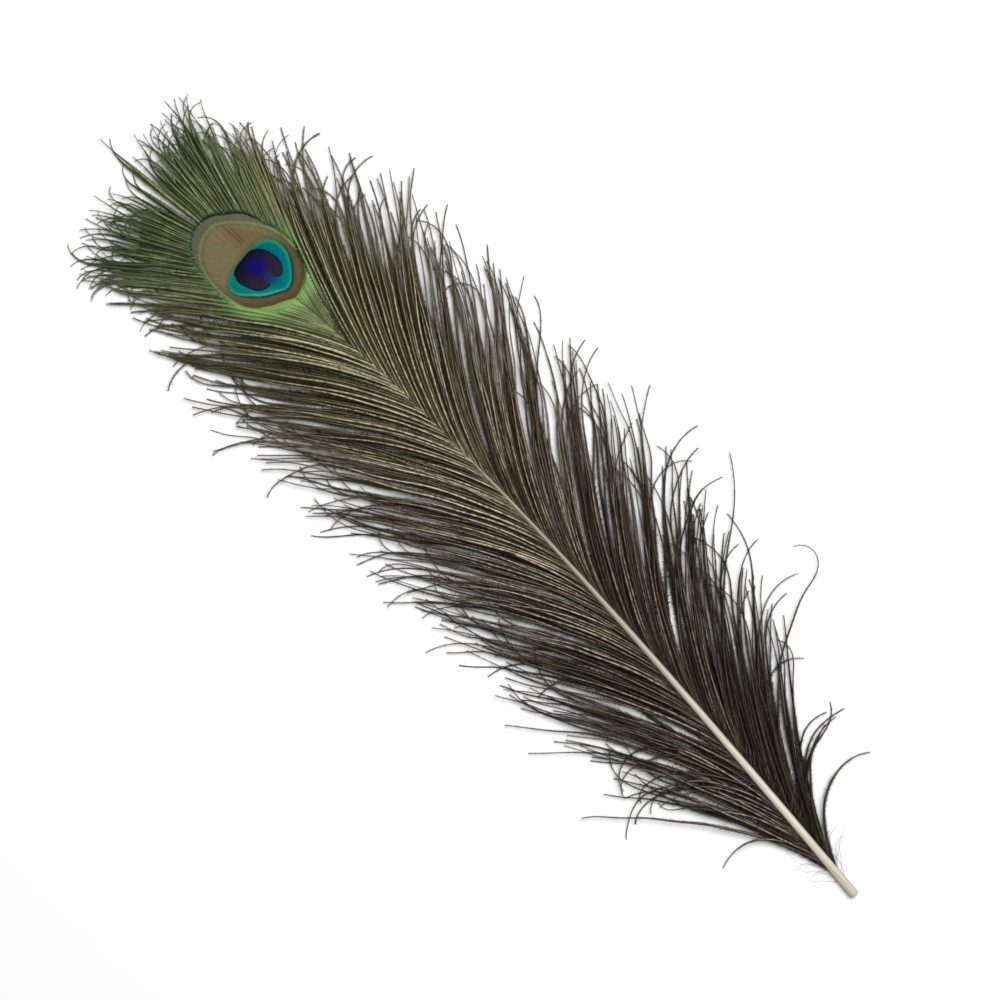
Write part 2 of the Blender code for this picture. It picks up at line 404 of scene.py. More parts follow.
@dataclass
class Course:
    """How one barb runs from its root to its tip."""

    root: Array
    heading: float
    side: Side
    root_angle: float
    bend: float
    tip_angle: float
    length: float
    root_height: float
    rise: float
    tip_height: float = 0.4
    wave: float = 0.0
    wave_period: float = 18.0
    wave_phase: float = 0.0
    curl: float = 0.0
    curl_from: float = 0.7
    wave_growth: float = 1.2
    curl_growth: float = 1.7

    def scatter(self, draws: Draws, by: Scatter, tips: float = 1.0) -> None:
        """Lets the barb stray from its even course.

        Args:
            draws: Random draws.
            by: How far it may stray.
            tips: The share of the tip angle's deviation that it has.
        """
        self.tip_angle += draws.normal(0.0, by.tip) * tips
        self.length *= 1.0 + draws.uniform(*by.length)
        self.rise += draws.uniform(*by.rise)
        self.tip_height = draws.uniform(*by.tip_height)
        self.wave += draws.uniform(*by.wave)
        self.wave_period = draws.uniform(*by.wave_period)
        self.wave_phase = draws.uniform(0.0, 1.0)

    def line(self, segment: float) -> Array:
        """Centre line of the barb.

        Args:
            segment: Wanted length of its pieces.

        Returns:
            Its points, one per row, with their height.
        """
        pieces = max(6, round(self.length / segment))
        share = (np.arange(pieces) + 0.5) / pieces
        angle = self.root_angle * (1.0 - share) ** 2 + self.tip_angle * share**2
        angle += self.bend * 2.0 * share * (1.0 - share)
        turns = share * self.length / self.wave_period + self.wave_phase
        angle += self.wave * share**self.wave_growth * np.sin(2.0 * math.pi * turns)
        curled = np.clip((share - self.curl_from) / (1.0 - self.curl_from), 0.0, 1.0)
        angle += self.curl * curled**self.curl_growth
        steps = towards(self.heading - self.side.value * angle) * (self.length / pieces)
        plan = self.root + np.vstack([np.zeros(2), np.cumsum(steps, axis=0)])
        share = np.linspace(0.0, 1.0, pieces + 1)
        height = mix(self.root_height, self.tip_height, share)
        height += self.rise * np.sin(math.pi * share)
        return np.column_stack([plan, height])


@dataclass
class Strand:
    """One barb, ready to be swept: its centre line and what the tree and material read.

    Its depth is how far the blade goes below the line, as a share of its half-width.
    """

    line: Array
    half_width: Array
    barbule: Array
    roll: Array
    tone: float
    station: float
    pale: float = 1.0
    knit: Array | float = 0.0
    depth: float = 0.6

    def raised(self, margin: float) -> "Strand":
        """Lifts the strand wherever its rolled blade or barbules would reach the floor.

        Args:
            margin: How far above the floor it stays.

        Returns:
            The strand itself.
        """
        dip = (self.half_width + self.barbule) * np.abs(np.sin(np.radians(self.roll)))
        self.line[:, 2] = np.maximum(self.line[:, 2], self.half_width * self.depth + dip + margin)
        return self

    def layers(self) -> dict[str, Array]:
        """What the tree and the material read.

        Returns:
            The attributes by their names, with a value for each point.
        """
        ones = np.ones(len(self.line))
        steps = np.linalg.norm(np.diff(self.line, axis=0), axis=1)
        along = np.concatenate([[0.0], np.cumsum(steps)])
        return {
            "half_width": self.half_width * MM,
            "barbule": self.barbule * MM,
            "roll": np.radians(self.roll),
            "reach": along / along[-1],
            "tone": self.tone * ones,
            "station": self.station * ones,
            "pale": self.pale * ones,
            "bare": step(self.station, ROOTS_CLOSE) * ones,
            "knit": self.knit * ones,
        }


@dataclass
class Sheaf:
    """Strands that become one piece."""

    form: FeatherForm
    strands: list[Strand] = field(default_factory=list)

    def guide(self, name: str) -> Object:
        """The centre lines as a mesh of edges that carries the strands' attributes.

        Args:
            name: The name of the piece that grows on them.

        Returns:
            The object with that mesh.
        """
        points = np.concatenate([strand.line for strand in self.strands])
        tips = np.cumsum([len(strand.line) for strand in self.strands]) - 1
        edges = np.setdiff1d(np.arange(len(points)), tips)
        mesh = bpy.data.meshes.new(name + "_guide")
        mesh.vertices.add(len(points))
        mesh.vertices.foreach_set("co", self.form.metres(points).ravel())
        mesh.edges.add(len(edges))
        mesh.edges.foreach_set("vertices", np.column_stack([edges, edges + 1]).ravel())
        read = [strand.layers() for strand in self.strands]
        for title in read[0]:
            layer = mesh.attributes.new(title, "FLOAT", "POINT")
            numbers = np.concatenate([layers[title] for layers in read])
            layer.data.foreach_set("value", numbers.astype(np.float32))
        return new_object(name + "_guide", mesh)


@dataclass
class BarbTree:
    """Geometry Nodes tree that grows barbs with barbules on guide lines."""

    name: str = "grow_barbs"
    ridge_share: float = 0.22
    knit_drop: float = 0.8
    barbule_thickness: float = 0.12
    barbule_rib: float = 0.35
    barbule_sizes: Pair = (0.75, 1.15)
    barbule_wobble: Triple = (0.04, 0.25, 0.1)
    least_barbule: float = 0.1
    group: Tree | None = None
    add: Adder | None = None
    given: object = None

    INPUTS = (
        ("Guides", "Geometry", None),
        ("Ridge Height", "Float", 0.45),
        ("Keel Depth", "Float", 0.2),
        ("Barbule Pitch", "Float", 0.5 * MM),
        ("Barbule Lean", "Float", 60.0),
        ("Barbule Base", "Float", 0.5),
        ("Smooth", "Bool", True),
        ("Seed", "Int", 1),
        ("Material", "Material", None),
    )

    def build(self) -> None:
        """Makes the tree, from its named inputs to Set Material."""
        self.group = tree = bpy.data.node_groups.new(self.name, "GeometryNodeTree")
        self.add = add = partial(add_node, tree)
        for title, kind, value in self.INPUTS:
            socket = tree.interface.new_socket(title, in_out="INPUT", socket_type="NodeSocket" + kind)
            if value is not None:
                socket.default_value = value
        tree.interface.new_socket("Barbs", in_out="OUTPUT", socket_type="NodeSocketGeometry")
        self.given = given = add("GroupInput").outputs
        read = {
            title: add("InputNamedAttribute", {"Name": title})
            for title in ("half_width", "barbule", "roll", "rib", "knit")
        }
        curves = add("MeshToCurve", {"Mesh": given["Guides"]})
        level = add("SetCurveNormal", {"Curve": curves}, mode="Z_UP")
        rolled = add("SetCurveTilt", {"Curve": level, "Tilt": read["roll"]})
        blade = add("CurveToMesh", {
            "Curve": rolled, "Profile Curve": self.section(), "Scale": read["half_width"],
            "Fill Caps": True,
        })
        # Where the vane is knit, the ridge sinks into it
        drop = read["half_width"]
        for share in (given["Ridge Height"], read["rib"], read["knit"], -self.knit_drop):
            drop = add("Math", {0: drop, 1: share})
        lowered = add("CombineXYZ", {2: drop})
        flat = add("SetPosition", {"Geometry": blade, "Offset": lowered})
        barbules = self.barbules(rolled, read["barbule"])
        joined = add("JoinGeometry", {"Geometry": flat})
        fill(joined, {"Geometry": barbules})
        real = add("RealizeInstances", {"Geometry": joined})
        smooth = add("SetShadeSmooth", {"Geometry": real, "Shade Smooth": given["Smooth"]})
        dressed = add("SetMaterial", {"Geometry": smooth, "Material": given["Material"]})
        add("GroupOutput", {0: dressed})

    def section(self) -> Node:
        """Section of a blade, 2 wide: thin edges, a flat-topped ridge and a shallow keel.

        Returns:
            The node that gives the section's curve. Its attribute rib is 1 on the ridge.
        """
        add, given = self.add, self.given
        ring = add("CurvePrimitiveCircle", {"Resolution": 6, "Radius": 1.0})
        upper = add("Compare", {2: add("InputIndex"), 3: 4}, data_type="INT", operation="GREATER_EQUAL")
        marked = add("StoreNamedAttribute", {"Geometry": ring, "Name": "rib", "Value": upper})
        ridge = add("CombineXYZ", {0: self.ridge_share, 1: given["Ridge Height"], 2: 1.0})
        keel = add("CombineXYZ", {0: 1.0, 1: given["Keel Depth"], 2: 1.0})
        shape = add("Switch", {"Switch": upper, "False": keel, "True": ridge}, input_type="VECTOR")
        place = add("InputPosition")
        shaped = add("VectorMath", {0: place, 1: shape}, operation="MULTIPLY")
        return add("SetPosition", {"Geometry": marked, "Position": shaped})

    def barbules(self, curves: Node, reach: Node) -> Node:
        """Pairs of pointed barbules along the curves.

        Args:
            curves: The node that gives the barbs' centre lines.
            reach: The node that reads how far the barbules reach.

        Returns:
            The node that places the pairs.
        """
        add, given = self.add, self.given
        spike = add("MeshCone", {"Vertices": 3, "Radius Top": 0.0, "Radius Bottom": 0.5, "Depth": 1.0})
        flat = add("CombineXYZ", {0: given["Barbule Base"], 1: self.barbule_thickness, 2: 1.0})
        pair = add("JoinGeometry")
        for side in Side:
            lean = add("Math", {0: given["Barbule Lean"], 1: math.radians(side.value)})
            turn = add("CombineXYZ", {1: lean})
            spikes = add("Transform", {"Geometry": spike, "Rotation": turn, "Scale": flat})
            fill(pair, {"Geometry": spikes})
        spots = {"Curve": curves, "Length": given["Barbule Pitch"]}
        places = add("CurveToPoints", spots, mode="LENGTH").outputs
        most = self.barbule_wobble
        ends = {"Min": tuple(-turn for turn in most), "Max": most, "Seed": given["Seed"]}
        wobble = add("RandomValue", ends, data_type="FLOAT_VECTOR")
        turned = add("RotateRotation", {0: places["Rotation"], 1: wobble}, rotation_space="LOCAL")
        least, most = self.barbule_sizes
        size = add("RandomValue", {2: least, 3: most, "Seed": given["Seed"]})
        long = add("Math", {0: size, 1: reach})
        shown = add("Compare", {0: reach, 1: self.least_barbule * MM}, operation="GREATER_THAN")
        marked = add("StoreNamedAttribute", {"Geometry": pair, "Name": "rib", "Value": self.barbule_rib})
        pairs = {"Points": places["Points"], "Selection": shown, "Instance": marked, "Scale": long}
        return add("InstanceOnPoints", {**pairs, "Rotation": turned})

    def grow(self, sheaf: Sheaf, name: str, material: Material, slot: Slot, sizes: dict) -> Object:
        """Grows a sheaf into a piece.

        Args:
            sheaf: The strands.
            name: The piece's name.
            material: Its finish.
            slot: The record's slot for its finish; not used.
            sizes: Values of the tree's inputs by their names.

        Returns:
            The piece, a plain mesh.
        """
        if self.group is None:
            self.build()
        guide = sheaf.guide(name)
        modifier = guide.modifiers.new("grow", "NODES")
        modifier.node_group = self.group
        given = {**sizes, "Material": material}
        for item in self.group.interface.items_tree:
            if item.in_out == "INPUT" and item.name in given:
                modifier[item.identifier] = given[item.name]
        depsgraph = bpy.context.evaluated_depsgraph_get()
        mesh = bpy.data.meshes.new_from_object(guide.evaluated_get(depsgraph))
        bpy.data.objects.remove(guide)
        mesh.name = name
        return finished_piece(name, mesh, material)


def finished_piece(name: str, mesh: bpy.types.Mesh, material: Material) -> Object:
    """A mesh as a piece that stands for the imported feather.

    Args:
        name: The piece's name.
        mesh: Its mesh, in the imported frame.
        material: Its finish.

    Returns:
        The piece.
    """
    mesh.materials.clear()
    mesh.materials.append(material)
    piece = new_object(name, mesh)
    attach(piece, BODY)
    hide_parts(NODE)
    mesh.calc_loop_triangles()
    LOG.info("%s: %d triangles", name, len(mesh.loop_triangles))
    return piece


@dataclass
class Lock:
    """Barbs that hang together: where their middle leaves the shaft, and how it runs."""

    station: float
    angle: float
    stretch: float
    wave: float
    wave_period: float
    wave_phase: float
    curl: float


@dataclass
class LooseVane:
    """The loose barbs along one side of the shaft, drawn together in locks.

    Real barbules lie several times closer, and are drawn as coarse as they need to show. The
    half-widths are those of a barb's root, of its middle and of its tip. The darkest and the
    paleness, which paint shade low on the shaft and on the right side, are those of the left
    side and of the right.
    """

    form: FeatherForm
    side: Side
    tree: BarbTree
    material: Material
    first_station: float = 0.045
    last_station: float = 0.9
    pieces: int = 2
    root_pitch: float = 0.9
    root_jitter: float = 0.45
    root_deviation: float = 2.8
    bend_deviation: float = 3.5
    scatter: Scatter = Scatter(
        tip=7.0, length=(-0.12, 0.1), rise=(-0.9, 1.5), tip_height=(0.25, 1.9), wave=(0.0, 6.0),
        wave_period=(13.0, 34.0), curl_from=(0.62, 0.85),
    )
    curled_share: float = 0.4
    curls: Pair = (20.0, 100.0)
    lock_pitch: float = 8.8
    lock_jitter: float = 0.25
    lock_pull: Pair = (0.1, 0.55)
    over_shaft: Pair = (0.45, 0.35)
    calmer: Pair = (0.6, 0.25)
    fuller: Pair = (0.55, 0.3)
    segment: float = 1.6
    half_widths: Triple = (0.3, 0.38, 0.12)
    barbule: float = 0.96
    barbule_pitch: float = 0.63
    roll: float = 9.0
    twist: float = 20.0
    stray_share: float = 0.11
    strays_low: Pair = (0.34, -0.24)
    strays_end: Pair = (0.66, 0.12)
    short_share: float = 0.35
    bright_share: float = 0.28
    # Painted shade: low on the shaft, and most on the right, fewer ridges are pale and they are dimmer
    darkest: Pair = (0.85, 0.1)
    lit: Pair = (0.2, 0.15)
    paleness: Pair = (1.0, 0.64)
    bright: Pair = (0.7, 1.0)
    dim: Pair = (0.05, 0.35)
    widest: float = 52.5
    clearance: float = 0.08

    def locks(self, draws: Draws) -> list[Lock]:
        """The locks of this side.

        Args:
            draws: Random draws.

        Returns:
            The locks, from the cut end to the eye.
        """
        count = round(self.form.shaft_length() * (1.0 - self.first_station) / self.lock_pitch)
        return [
            Lock(
                station=station + draws.uniform(-self.lock_jitter, self.lock_jitter) / count,
                angle=draws.normal(0.0, 3.0), stretch=1.0 + draws.uniform(-0.09, 0.07),
                wave=draws.uniform(1.0, 5.0), wave_period=draws.uniform(22.0, 40.0),
                wave_phase=draws.uniform(0.0, 1.0), curl=draws.normal(0.0, 12.0),
            )
            for station in np.linspace(self.first_station, 1.0, count + 1)
        ]

    def course(self, station: float, lock: Lock, draws: Draws | None) -> Course:
        """The run of a barb.

        Args:
            station: Where its root sits.
            lock: The lock that it belongs to.
            draws: Random draws for a barb, or None for the lock's own middle.

        Returns:
            The course.
        """
        form = self.form
        root, heading = form.shaft_place(station)
        root_angle, bend, tip_angle = form.spread(self.side, station)
        width = form.shaft_width(station)
        over_shaft = step(station, self.over_shaft)
        calm = mix(1.0, 0.15, step(station, self.calmer))
        course = Course(
            root, heading, self.side, root_angle, bend, tip_angle + lock.angle * calm,
            length=form.barb_reach(station) * mix(1.0, lock.stretch, calm),
            root_height=width * form.height_of_width * mix(0.55, 1.02, over_shaft),
            rise=1.5, wave=lock.wave * calm, wave_period=lock.wave_period,
            wave_phase=lock.wave_phase, curl=lock.curl,
        )
        if draws is None:
            return course
        offset = width * mix(0.32, -0.12 * (draws.random() < 0.5), over_shaft)
        course.root = root + towards(heading - 90.0 * self.side.value) * offset
        loose = mix(1.0, 0.22, over_shaft)
        course.root_angle += draws.normal(0.0, self.root_deviation) * loose
        course.bend += draws.normal(0.0, self.bend_deviation) * loose
        course.scatter(draws, self.scatter, mix(1.0, 0.6, over_shaft))
        if draws.random() < self.curled_share:
            course.curl += draws.choice([-1.0, 1.0]) * draws.uniform(*self.curls)
            course.curl_from = draws.uniform(*self.scatter.curl_from)
        return course

    def strand(self, station: float, locks: list[Lock], draws: Draws) -> Strand:
        """One barb of this side.

        Args:
            station: Where its root sits.
            locks: The locks, of which it joins the nearest.
            draws: Random draws.

        Returns:
            The strand.
        """
        lock = min(locks, key=lambda each: abs(each.station - station))
        course = self.course(station, lock, draws)
        low = step(station, self.strays_low)
        free = 1.0 - step(station, self.strays_end)
        stray = draws.random() < self.stray_share * mix(1.0, 3.0, low) * free
        # A stray is short and curled up, or else long and bent aside
        if stray and draws.random() < self.short_share * low:
            course.length *= draws.uniform(0.45, 0.75)
            course.tip_angle += draws.uniform(30.0, 90.0)
            course.curl += draws.uniform(0.0, 60.0)
        elif stray:
            course.bend += draws.normal(3.0 * low, 10.0)
            course.length *= 1.0 + 0.18 * low
            course.tip_angle += draws.normal(0.0, 18.0)
            course.curl += draws.normal(-20.0 * low, 50.0)
        # Painted shade: fewer ridges are pale low on the shaft, above all on the right
        lit = mix(self.darkest[self.side is Side.RIGHT], 1.0, step(station, self.lit))
        bright = draws.random() < self.bright_share * lit
        course.rise += 0.3 if bright else -0.9
        line = course.line(self.segment)
        if not stray:
            middle = self.course(lock.station, lock, None)
            middle.length = course.length
            pull = draws.uniform(*self.lock_pull) * mix(1.0, 0.1, step(station, ROOTS_CLOSE))
            share = np.linspace(0.0, 1.0, len(line))
            drawn = middle.line(self.segment)[: len(line), :2]
            near = line[: len(drawn), :2]
            near += (drawn - near) * (pull * share[: len(drawn)] ** 2.0)[:, None]
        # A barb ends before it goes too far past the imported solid's sides
        beyond = np.flatnonzero(np.abs(line[:, 0] + self.form.origin[0]) > self.widest)
        line = line[: beyond[0]] if len(beyond) else line
        return self.dressed(line, station, bright, draws)

    def dressed(self, line: Array, station: float, bright: bool, draws: Draws) -> Strand:
        """Gives a barb its widths, its roll and its tone.

        Args:
            line: Its centre line.
            station: Where its root sits.
            bright: Whether its ridge is one of the pale ones.
            draws: Random draws.

        Returns:
            The strand.
        """
        share = np.linspace(0.0, 1.0, len(line))
        root, middle, tip = self.half_widths
        half_width = mix(root, middle, step(share, (0.0, 0.2)))
        half_width = mix(half_width, tip, step(share, (0.35, 0.65))) * draws.uniform(0.8, 1.15)
        barbule = self.barbule * mix(0.5, 1.0, step(share, (0.0, 0.1)))
        barbule = barbule * mix(1.0, 0.5, step(share, (0.45, 0.55))) * draws.uniform(0.85, 1.1)
        fuller = mix(1.0, 1.25, step(station, self.fuller))
        half_width, barbule = half_width * fuller, barbule * fuller * (1.0 if bright else 1.25)
        turns = share * draws.uniform(0.5, 2.0) + draws.uniform(0.0, 1.0)
        roll = draws.normal(0.0, self.roll) + self.twist * share * np.sin(2.0 * math.pi * turns)
        pale = draws.uniform(*(self.bright if bright else self.dim))
        # Painted shade: ridges are dimmer low on the shaft and on the right side
        pale *= mix(0.75, 1.0, step(station, (0.0, 0.7))) * self.paleness[self.side is Side.RIGHT]
        strand = Strand(line, half_width, barbule, roll, draws.random(), station, pale)
        return strand.raised(self.clearance)

    def build(self) -> list[Object]:
        """Grows the loose barbs of this side.

        Returns:
            The pieces, from the cut end to the eye.
        """
        draws = np.random.default_rng(SEED + 10 * self.side.value)
        locks = self.locks(draws)
        whole = self.form.shaft_length()
        count = round(whole * (self.last_station - self.first_station) / self.root_pitch)
        stations = np.linspace(self.first_station, self.last_station, count)
        jitter = draws.uniform(-self.root_jitter, self.root_jitter, count)
        stations += jitter * self.root_pitch / whole
        built = []
        for number, part in enumerate(np.array_split(np.sort(stations), self.pieces)):
            sheaf = Sheaf(self.form, [self.strand(station, locks, draws) for station in part])
            name = f"loose_barbs_{self.side.name.lower()}_{number + 1}"
            sizes = {"Seed": SEED + number, "Barbule Pitch": self.barbule_pitch * MM}
            built.append(self.tree.grow(sheaf, name, self.material, Slot.BARBS, sizes))
        return built


@dataclass
class EyeVane:
    """One side of the close-knit vane that carries the eye, with the fan beyond it.

    Real barbules lie several times closer, and are drawn as coarse as they need to show. The
    covers are a barb's half-width as a share of the distance to its neighbour.
    """

    form: FeatherForm
    side: Side
    tree: BarbTree
    material: Material
    first_station: float = 0.9
    root_pitch: float = 0.7
    inner_barbs: int = 54
    sorting_height: float = 4.0
    segment: float = 0.5
    scatter: Scatter = Scatter(
        tip=2.2, length=(-0.12, 0.12), rise=(-0.1, 0.5), tip_height=(0.25, 1.8), wave=(1.0, 8.0),
        wave_period=(12.0, 26.0), curl_from=(0.72, 0.9),
    )
    clump_mm: float = 9.0
    clump_place: float = 0.23
    stray_from: float = -6.0
    outer_from: float = -4.0
    knit_edge: Pair = (1.0, -0.9)
    knit_cover: float = 0.78
    fan_cover: float = 0.56
    fan_widest: float = 0.56
    web_cover: float = 0.66
    web_length: float = 16.0
    web_edge: Pair = (16.0, -6.0)
    half_width: float = 0.38
    tip_half_width: float = 0.075
    taper: Pair = (0.64, 0.35)
    root_taper: Pair = (0.0, 0.03)
    barbule: float = 0.72
    barbule_gap: float = 0.95
    bright_share: float = 0.46
    thinned_beyond: float = 2.5
    centre_angle: float = 0.3
    clearance: float = 0.04
    sizes: tuple[tuple[str, float], ...] = (
        ("Smooth", False), ("Barbule Pitch", 0.5 * MM), ("Ridge Height", 0.4), ("Keel Depth", 0.1),
    )

    def course(self, place: float, draws: Draws | None) -> Course:
        """The run of a barb.

        Args:
            place: Below 0 it is how far before the notch the root sits, in mm. From 0 to 1
                it is how far inward the barb lies in the fan.
            draws: Random draws, or None for the undisturbed course.

        Returns:
            The course.
        """
        form = self.form
        if place < 0.0:
            station = 1.0 + place / form.shaft_length()
            root, heading = form.shaft_place(station)
            if draws is not None and place < self.stray_from and draws.random() < 0.5:
                root = root + towards(heading + 90.0 * self.side.value) * 0.14
            angles = form.spread(self.side, station)
            length = form.barb_reach(station)
        else:
            root, heading = form.rachis_place(form.rachis_inside_eye * place**2)
            angles = [mix(angle, self.centre_angle, place) for angle in form.spread(self.side, 1.0)]
            length = mix(form.barb_length, form.centre_length, place)
        course = Course(root, heading, self.side, *angles, length, root_height=1.0, rise=1.3)
        if draws is not None:
            course.scatter(draws, self.scatter)
            clump = place / (self.clump_mm if place < 0.0 else self.clump_place)
            course.curl = 15.0 + 30.0 * math.sin(2.0 * math.pi * clump) + draws.normal(0.0, 60.0)
            course.curl_from = draws.uniform(*self.scatter.curl_from)
        return course

    def places(self) -> Array:
        """Where the barbs root: along the shaft by a fixed pitch, then evenly across the eye.

        Returns:
            The places, as for a course, from the cut end inwards.
        """
        before = self.form.shaft_length() * (1.0 - self.first_station)
        outer = -np.arange(before, 0.0, -self.root_pitch)
        fine = np.linspace(0.0, 1.0, 121)
        crossing = []
        for place in fine:
            line = self.course(place, None).line(self.segment)
            angle, distance = self.form.in_eye(line)
            height = distance * np.cos(np.radians(angle))
            nearest = int(np.argmin(np.abs(height - self.sorting_height)))
            crossing.append(distance[nearest] * np.sin(np.radians(angle[nearest])))
        across = np.abs(np.array(crossing))[::-1]
        even = np.linspace(across[0], across[-1], self.inner_barbs)
        inner = np.interp(even, np.maximum.accumulate(across), fine[::-1])
        return np.concatenate([outer, inner[::-1]])

    def build(self) -> Object:
        """Grows the vane's barbs.

        Returns:
            The piece.
        """
        draws = np.random.default_rng(SEED + 5 * self.side.value)
        places = self.places()
        lines = []
        for place in places:
            line = self.course(place, draws).line(self.segment)
            calm = self.course(place, None)
            calm.length = self.segment * (len(line) - 1)
            steady = calm.line(self.segment)[: len(line)]
            line = line[: len(steady)]
            knit = self.knit(steady)
            line[:, :2] = mix(line[:, :2], steady[:, :2], knit[:, None])
            line[:, 2] = mix(line[:, 2] - 0.25, self.form.knit_height(line), knit)
            lines.append(line)
        strands = [self.strand(number, place, lines, draws) for number, place in enumerate(places)]
        name = f"eye_vane_{self.side.name.lower()}"
        sizes = {"Seed": SEED, **dict(self.sizes)}
        return self.tree.grow(Sheaf(self.form, strands), name, self.material, Slot.EYE, sizes)

    def strand(self, number: int, place: float, lines: list[Array], draws: Draws) -> Strand:
        """One barb of the vane.

        Args:
            number: Its number.
            place: Where its root sits, as for its course.
            lines: The centre lines of the whole vane.
            draws: Random draws.

        Returns:
            The strand.
        """
        line = lines[number]
        knit = self.knit(line)
        gap = self.spacing(number, lines)
        share = np.linspace(0.0, 1.0, len(line))
        web = step(self.segment * np.arange(len(line)), self.web_edge)
        closed = np.maximum(knit, web * step(1.2 + place / self.web_length, (0.0, 1.0)))
        taper = step(share, self.taper)
        loose = np.maximum(self.half_width, np.minimum(self.fan_cover * gap, self.fan_widest))
        loose = mix(loose, self.tip_half_width, taper)
        loose = mix(loose, np.clip(self.web_cover * gap, 0.12, 0.4), closed)
        half_width = mix(loose, np.clip(self.knit_cover * gap, 0.08, 0.8), knit)
        half_width = half_width * mix(0.4, 1.0, step(share, self.root_taper))
        barbule = self.barbule * np.clip(gap / self.barbule_gap, 1.0, 1.6)
        barbule = barbule * (1.0 - closed) * mix(1.0, 0.42, taper)
        roll = mix(draws.normal(0.0, 8.0), 3.0 * self.side.value, knit)
        outer = place < self.outer_from
        bright = draws.random() < self.bright_share * (0.58 if outer else 1.0)
        strong = (0.5, 0.85) if outer else (0.65, 1.0)
        pale = draws.uniform(*(strong if bright else (0.1, 0.4)))
        station = 1.0 + (place / self.form.shaft_length() if place < 0.0 else 0.3 * place)
        tone = draws.random()
        # All points stay by the eye, and every second or third one where the barb is loose
        far = (self.form.outside_eye(line) > self.thinned_beyond) & (closed <= 0.0)
        stay = ~far | (np.arange(len(line)) % np.where(share > 0.7, 2, 3) == 0)
        shape = (each[stay] for each in (line, half_width, barbule, roll))
        return Strand(*shape, tone, station, pale, closed[stay]).raised(self.clearance)

    def knit(self, line: Array) -> Array:
        """How closely the vane is knit along a line, from 0 to 1."""
        return step(self.form.outside_eye(line), self.knit_edge)

    @staticmethod
    def spacing(number: int, lines: list[Array]) -> Array:
        """How far apart the lines lie.

        Args:
            number: A line's number.
            lines: All the lines.

        Returns:
            Distances from its points to the farther of the lines beside it.
        """
        found = np.zeros(len(lines[number]))
        for other in (number - 1, number + 1):
            if 0 <= other < len(lines):
                away = lines[number][:, None, :2] - lines[other][None, :, :2]
                found = np.maximum(found, np.hypot(away[..., 0], away[..., 1]).min(axis=1))
        return found


@dataclass
class Down:
    """Fine dark strands low on the shaft."""

    form: FeatherForm
    tree: BarbTree
    material: Material
    first: float = 7.0
    last: float = 66.0
    count: int = 42
    half_width: float = 0.06
    segment: float = 0.9

    def build(self) -> Object:
        """Grows the down of both sides.

        Returns:
            The piece.
        """
        draws = np.random.default_rng(SEED + 3)
        sheaf = Sheaf(self.form)
        for side in Side:
            for along in np.linspace(self.first, self.last, self.count):
                station = along / self.form.shaft_length()
                root, heading = self.form.shaft_place(station)
                width = self.form.shaft_width(station)
                course = Course(
                    root + towards(heading - 90.0 * side.value) * 0.4 * width, heading, side,
                    root_angle=draws.uniform(25.0, 70.0), bend=draws.uniform(10.0, 60.0),
                    tip_angle=draws.uniform(-20.0, 80.0), length=draws.uniform(4.0, 12.0),
                    root_height=0.5 * width, rise=draws.uniform(0.2, 1.6),
                    tip_height=draws.uniform(0.2, 2.0), wave=draws.uniform(10.0, 40.0),
                    wave_period=draws.uniform(4.0, 9.0), wave_phase=draws.random(),
                    curl=draws.normal(0.0, 60.0), curl_from=0.5,
                )
                line = course.line(self.segment)
                share = np.linspace(0.0, 1.0, len(line))
                thin = self.half_width * mix(1.0, 0.4, share)
                none = 0.0 * share
                sheaf.strands.append(Strand(line, thin, none, none, draws.random(), station))
        return self.tree.grow(sheaf, "down", self.material, Slot.BARBS, {"Seed": SEED})


